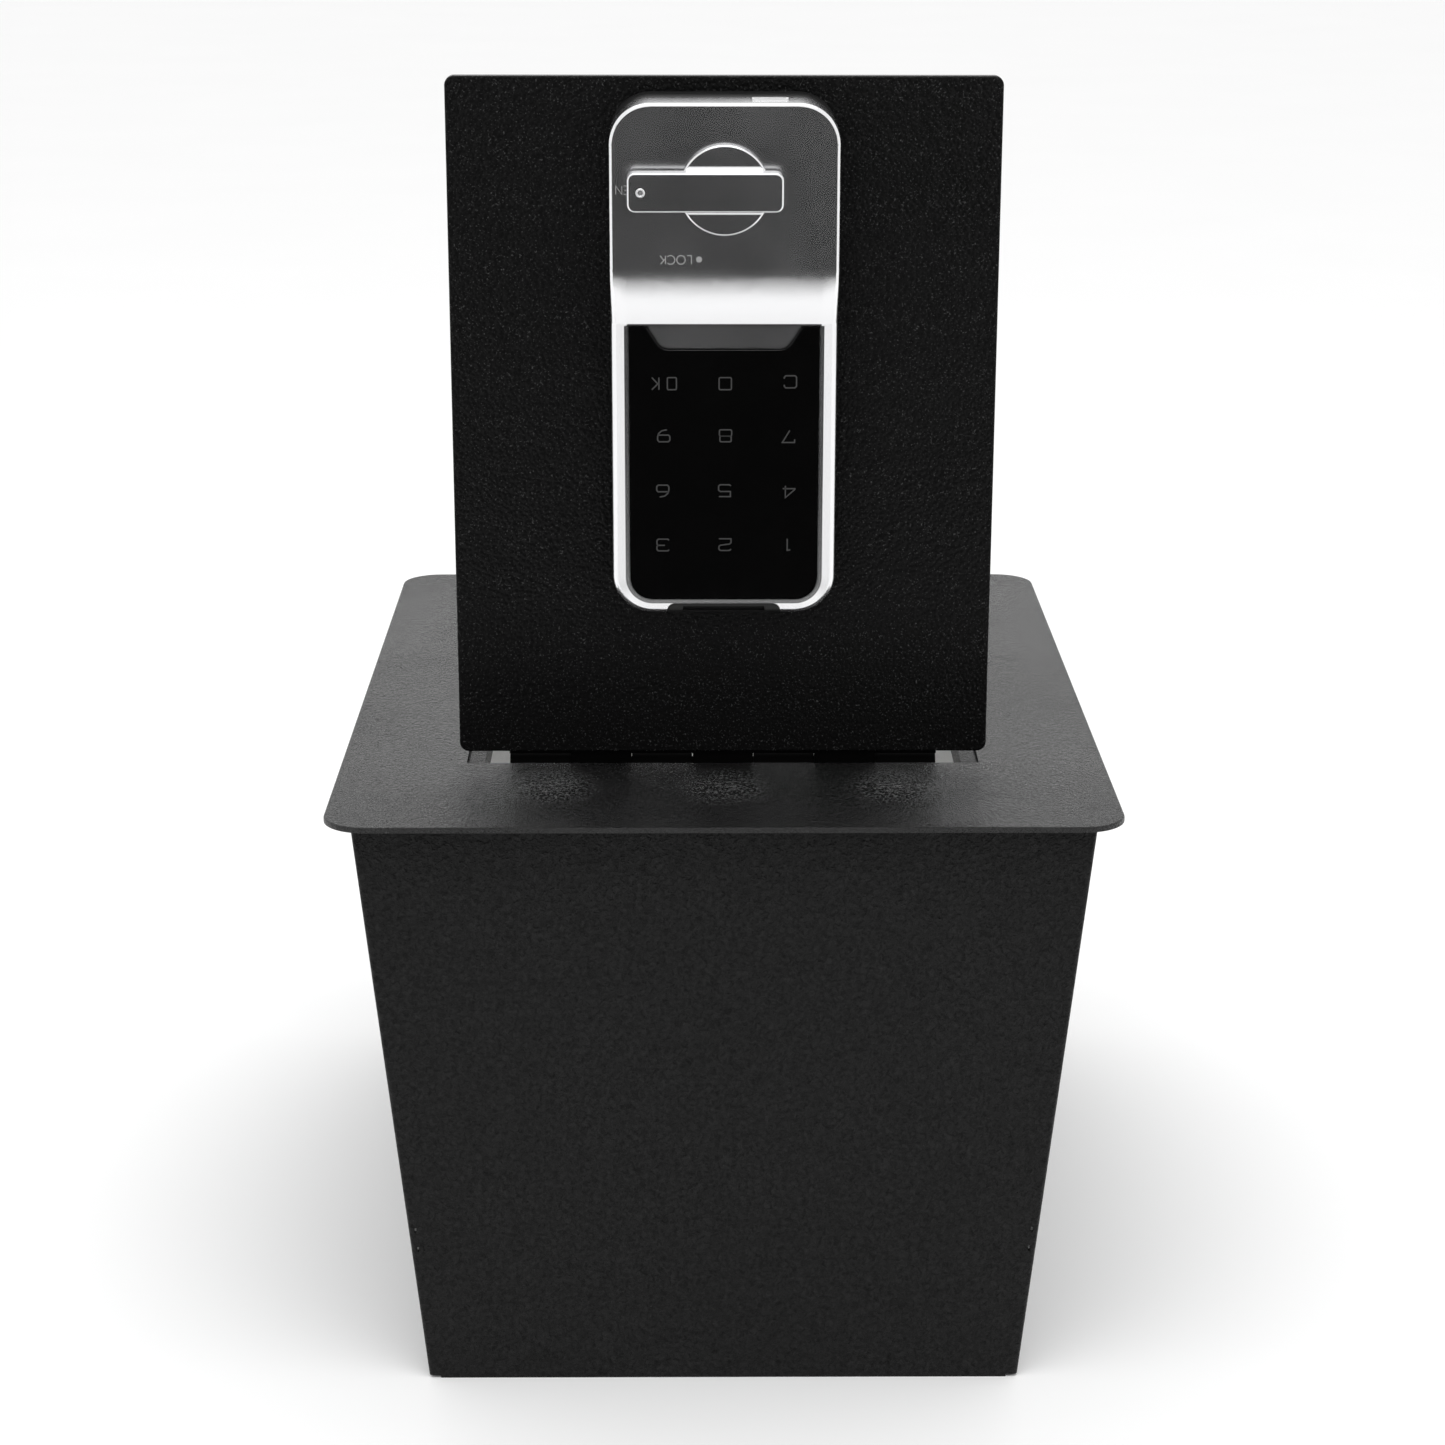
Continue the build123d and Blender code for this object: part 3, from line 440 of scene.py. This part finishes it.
def arc(cx, cy, rx, ry, a0, a1, steps=14):
    """Points round an ellipse's arc, angles in degrees."""
    turn = [math.radians(a0 + (a1 - a0) * i / steps) for i in range(steps + 1)]
    return [(cx + rx * math.cos(a), cy + ry * math.sin(a)) for a in turn]


def square_ring(x0, y0, x1, y1, r):
    """A closed rounded rectangle's line."""
    points = arc(x1 - r, y1 - r, r, r, 0, 90, 3) + arc(x0 + r, y1 - r, r, r, 90, 180, 3)
    points += arc(x0 + r, y0 + r, r, r, 180, 270, 3) + arc(x1 - r, y0 + r, r, r, 270, 360, 3)
    return points + points[:1]


# Wide square figures, 1 unit wide and 1 high, and thin capitals, drawn as lines.
FIGURES = {
    "0": [square_ring(0, 0, 1, 1, 0.12)],
    "1": [[(0.24, 0.94), (0.5, 1.0), (0.5, 0.0)]],
    "2": [[(0, 0.88), (0.12, 1), (0.88, 1), (1, 0.88), (1, 0.66), (0.88, 0.55), (0.12, 0.45),
           (0, 0.33), (0, 0), (1, 0)]],
    "3": [[(0, 0.9), (0.1, 1), (0.88, 1), (1, 0.88), (1, 0.62), (0.88, 0.53), (0.35, 0.53)],
          [(0.88, 0.53), (1, 0.42), (1, 0.12), (0.88, 0), (0.1, 0), (0, 0.1)]],
    "4": [[(0.78, 0), (0.78, 1), (0, 0.3), (0, 0.24), (1, 0.24)]],
    "5": [[(0.97, 1), (0.03, 1), (0.03, 0.57), (0.86, 0.57), (1, 0.44), (1, 0.12), (0.88, 0),
           (0.1, 0), (0, 0.1)]],
    "6": [[(0.76, 1), (0.36, 0.93), (0.09, 0.7), (0, 0.42), (0, 0.14), (0.12, 0), (0.88, 0),
           (1, 0.13), (1, 0.44), (0.88, 0.56), (0.04, 0.56)]],
    "7": [[(0, 0.74), (0, 1), (1, 1), (0.4, 0)]],
    "8": [square_ring(0.04, 0.53, 0.96, 1, 0.11), square_ring(0, 0, 1, 0.53, 0.11)],
    "9": [[(0.24, 0), (0.64, 0.07), (0.91, 0.3), (1, 0.58), (1, 0.86), (0.88, 1), (0.12, 1),
           (0, 0.87), (0, 0.56), (0.12, 0.44), (0.96, 0.44)]],
    "C": [[(1, 0.74), (1, 0.87), (0.88, 1), (0.13, 1), (0, 0.87), (0, 0.13), (0.13, 0),
           (0.88, 0), (1, 0.13), (1, 0.25)]],
    "K": [[(0, 0), (0, 1)], [(0.96, 1), (0.14, 0.52), (0.96, 0)]],
}
CAPITALS = {
    "L": (0.5, [[(0, 1), (0, 0), (0.5, 0)]]),
    "O": (1.0, [arc(0.5, 0.5, 0.5, 0.52, 0, 360, 28)]),
    "C": (0.88, [arc(0.5, 0.5, 0.5, 0.52, 42, 318, 24)]),
    "K": (0.62, [[(0, 0), (0, 1)], [(0.58, 1), (0.04, 0.4)], [(0.2, 0.58), (0.62, 0)]]),
    "P": (0.56, [[(0, 0), (0, 1)], [(0, 1), (0.3, 1)] + arc(0.3, 0.73, 0.26, 0.27, 90, -90, 12)
                 + [(0, 0.46)]]),
    "E": (0.54, [[(0.54, 1), (0, 1), (0, 0), (0.54, 0)], [(0, 0.52), (0.48, 0.52)]]),
    "N": (0.72, [[(0, 0), (0, 1), (0.72, 0), (0.72, 1)]]),
}


MITRE_LIMIT = 0.5


def ribbon(points, width):
    """Left and right rims of a line of that width, with mitred corners."""
    line = [Vector(p) for p in points]
    closed = (line[0] - line[-1]).length < 1e-6
    if closed:
        line = line[:-1]
    count = len(line)
    left, right = [], []
    for i, p in enumerate(line):
        before = line[i - 1] if closed or i else None
        after = line[(i + 1) % count] if closed or i < count - 1 else None
        steps = []
        if before is not None:
            steps.append((p - before).normalized())
        if after is not None:
            steps.append((after - p).normalized())
        normals = [Vector((-d.y, d.x)) for d in steps]
        middle = sum(normals, Vector((0, 0))).normalized()
        reach = width / 2 / max(MITRE_LIMIT, middle.dot(normals[0]))
        left.append(p + middle * reach)
        right.append(p - middle * reach)
    return left, right, closed


def lettering(name, strokes, width, place, rise, material):
    """Raised strokes. place turns a 2D point into (x, s, n) on the lid in millimetres."""
    vertices, faces = [], []
    for stroke in strokes:
        left, right, closed = ribbon(stroke, width)
        first = len(vertices)
        for a, b in zip(left, right):
            for point, height in ((a, 0), (a, rise), (b, rise), (b, 0)):
                x, s, n = place(point)
                vertices.append(lid_point(x, s, n + height))
        count = len(left)
        for i in range(count if closed else count - 1):
            here, there = first + 4 * i, first + 4 * ((i + 1) % count)
            for k in range(4):
                faces.append((here + k, there + k, there + (k + 1) % 4, here + (k + 1) % 4))
        if not closed:
            faces.append(tuple(first + k for k in range(4)))
            last = first + 4 * (count - 1)
            faces.append(tuple(last + k for k in (3, 2, 1, 0)))
    mesh = bpy.data.meshes.new(name)
    mesh.from_pydata([tuple(v) for v in vertices], [], faces)
    mesh.materials.append(material)
    piece = bpy.data.objects.new(name, mesh)
    bpy.context.scene.collection.objects.link(piece)
    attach(piece, "lid")


# Heights of the glass and of the lock's head over the lid, in millimetres
GLASS_N, HEAD_N = 14.2, 18.5
KEY_W, KEY_H, KEY_STROKE, KEY_RISE = 3.25, 3.25, 0.36, 0.02
KEYS = {
    "1": (17.0, 63.4), "2": (0.3, 63.4), "3": (-16.3, 63.3),
    "4": (17.3, 78.0), "5": (0.2, 78.3), "6": (-16.3, 78.2),
    "7": (17.1, 93.1), "8": (0.4, 93.3), "9": (-16.0, 93.3),
    "C": (17.5, 107.9), "0": (0.3, 107.4),
}


def key_figure(name, figure, cx, cs, width=KEY_W):
    """A figure on the glass. Its top points to the hinge, so it reads upside down here."""
    scaled = [[(x * width, y * KEY_H) for x, y in stroke] for stroke in FIGURES[figure]]

    def place(p):
        return cx - (p.x - width / 2), cs - (p.y - KEY_H / 2), GLASS_N

    lettering(name, scaled, KEY_STROKE, place, KEY_RISE, LEGEND)


for figure, (cx, cs) in KEYS.items():
    key_figure(f"legend_{figure}", figure, cx, cs)
key_figure("legend_ok_o", "0", -13.8, 107.4, width=2.4)
key_figure("legend_ok_k", "K", -18.2, 107.4, width=1.95)

WORD_H, WORD_STROKE, WORD_GAP, PRINT_RISE = 2.2, 0.24, 0.5, 0.015
DOT_R, DOT_FILL = 0.78, 0.999


def word(name, text, first_x, s):
    """A word on the head, read towards -x, its letters upside down."""
    at = 0.0
    strokes = []
    for letter in text:
        wide, lines = CAPITALS[letter]
        strokes += [[(at + x * WORD_H, y * WORD_H) for x, y in line] for line in lines]
        at += wide * WORD_H + WORD_GAP

    def place(p):
        return first_x - p.x, s - p.y + WORD_H / 2, HEAD_N

    lettering(name, strokes, WORD_STROKE, place, PRINT_RISE, PRINT)


def dot(name, x, s):
    """A dot on the head: one closed stroke, nearly as wide as its own radius."""
    ring = arc(0, 0, DOT_R / 2, DOT_R / 2, 0, 360, 20)

    def place(p):
        return x + p.x, s + p.y, HEAD_N

    lettering(name, [ring], DOT_R * DOT_FILL, place, PRINT_RISE, PRINT)


word("print_lock", "LOCK", -8.6, 141.1)
word("print_open", "OPEN", -20.4, 159.2)
dot("print_dot_lock", -6.6, 141.2)
dot("print_dot_open", -18.4, 159.4)


# ---- Stage: pale floor, soft light, two dark flags that only reflections see ----


def plane(name, corners, material):
    mesh = bpy.data.meshes.new(name)
    mesh.from_pydata(corners, [], [(0, 1, 2, 3)])
    mesh.materials.append(material)
    made = bpy.data.objects.new(name, mesh)
    bpy.context.scene.collection.objects.link(made)
    return made


def floor_material():
    material, tree, shader, place = start("pale_floor", Specular_IOR_Level=0.1)
    cloud = noise(tree, place, 6.0, 3.0)
    link(tree, tint(tree, cloud, grey(0.94), grey(0.96)), shader.inputs["Base Color"])
    link(tree, spread(tree, cloud, 0.3, 0.7, 0.85, 0.95), shader.inputs["Roughness"])
    return material


def glow(name, strength):
    """A plain emitter, and its emission node."""
    material = bpy.data.materials.new(name)
    material.use_nodes = True
    tree = material.node_tree
    tree.nodes.remove(tree.nodes["Principled BSDF"])
    light = add(tree, "ShaderNodeEmission", {"Color": (1, 1, 1, 1), "Strength": strength})
    link(tree, light.outputs[0], tree.nodes["Material Output"].inputs["Surface"])
    return material, light


FLOOR_HALF = 12.0
FLAG_Y, FLAG_W, FLAG_H, FLAG_DARK = -1.3, 0.48, 0.4, 0.008
APRON_Z = 0.002
FADE_START, FADE_END = -0.74, -0.42
SIDE_START, SIDE_END = 0.17, 0.25


def fading_glow(name):
    """Dark in the middle, brightening to the floor's white in front and at each side."""
    material, light = glow(name, 1.0)
    tree = material.node_tree
    place = add(tree, "ShaderNodeTexCoord").outputs["Object"]
    split = add(tree, "ShaderNodeSeparateXYZ")
    link(tree, place, split.inputs[0])
    off = math_node(tree, "ABSOLUTE", split.outputs["X"])
    front = spread(tree, split.outputs["Y"], FADE_START, FADE_END, FLAG_DARK, 1.0)
    side = spread(tree, off, SIDE_START, SIDE_END, FLAG_DARK, 1.0)
    link(tree, math_node(tree, "MAXIMUM", front, side), light.inputs["Strength"])
    return material


def rectangle(half, near, far):
    """Its corners, half wide each side of x = 0, between (y, z) near and (y, z) far."""
    return [(-half, *near), (half, *near), (half, *far), (-half, *far)]


ground = rectangle(FLOOR_HALF, (-FLOOR_HALF, 0), (FLOOR_HALF, 0))
upright = rectangle(FLAG_W, (FLAG_Y, 0.0), (FLAG_Y, FLAG_H))
apron = rectangle(FLAG_W, (FLAG_Y, APRON_Z), (FADE_END, APRON_Z))
plane("floor", ground, floor_material())
flags = [
    plane("dark_flag", upright, glow("dark_flag", FLAG_DARK)[0]),
    plane("dark_apron", apron, fading_glow("dark_apron")),
]
for flag in flags:
    flag.visible_camera = False
    flag.visible_diffuse = False
    flag.visible_transmission = False
    flag.visible_shadow = False

world = bpy.data.worlds.new("studio")
world.use_nodes = True
world.node_tree.nodes["Background"].inputs["Color"].default_value = (1, 1, 1, 1)
world.node_tree.nodes["Background"].inputs["Strength"].default_value = 1.0
bpy.context.scene.world = world


LIGHT_AIM = Vector((0.0, 0.0, 0.1))


def area(name, place, width, height, power):
    data = bpy.data.lights.new(name, "AREA")
    data.shape = "RECTANGLE"
    data.size = width
    data.size_y = height
    data.energy = power
    lamp = bpy.data.objects.new(name, data)
    bpy.context.scene.collection.objects.link(lamp)
    lamp.location = place
    lamp.rotation_euler = (LIGHT_AIM - Vector(place)).to_track_quat("-Z", "Y").to_euler()


area("top_box", (0.0, -0.7, 1.8), width=1.6, height=1.2, power=10.0)
area("back_box", (0.0, 0.75, 0.95), width=0.9, height=0.6, power=1.2)


# ---- Camera ----

CAMERA_PLACE = (-0.0076, -0.9695, 0.4345)
CAMERA_PAN, CAMERA_PITCH, CAMERA_ROLL = -0.48, -16.33, -0.09
CAMERA_LENS, SENSOR_WIDTH = 83.3, 36.0


def turned(degrees, axis):
    return Matrix.Rotation(math.radians(degrees), 4, axis)


camera_data = bpy.data.cameras.new("camera")
camera_data.sensor_width = SENSOR_WIDTH
camera_data.lens = CAMERA_LENS
camera_data.clip_start = 0.01
camera = bpy.data.objects.new("camera", camera_data)
bpy.context.scene.collection.objects.link(camera)
camera.matrix_world = (
    Matrix.Translation(CAMERA_PLACE)
    @ turned(CAMERA_PAN, "Z")
    @ turned(CAMERA_PITCH, "X")
    @ turned(CAMERA_ROLL, "Y")
    @ turned(90, "X")
)
bpy.context.scene.camera = camera
bpy.context.scene.view_settings.view_transform = "Standard"
bpy.context.scene.view_settings.look = "None"
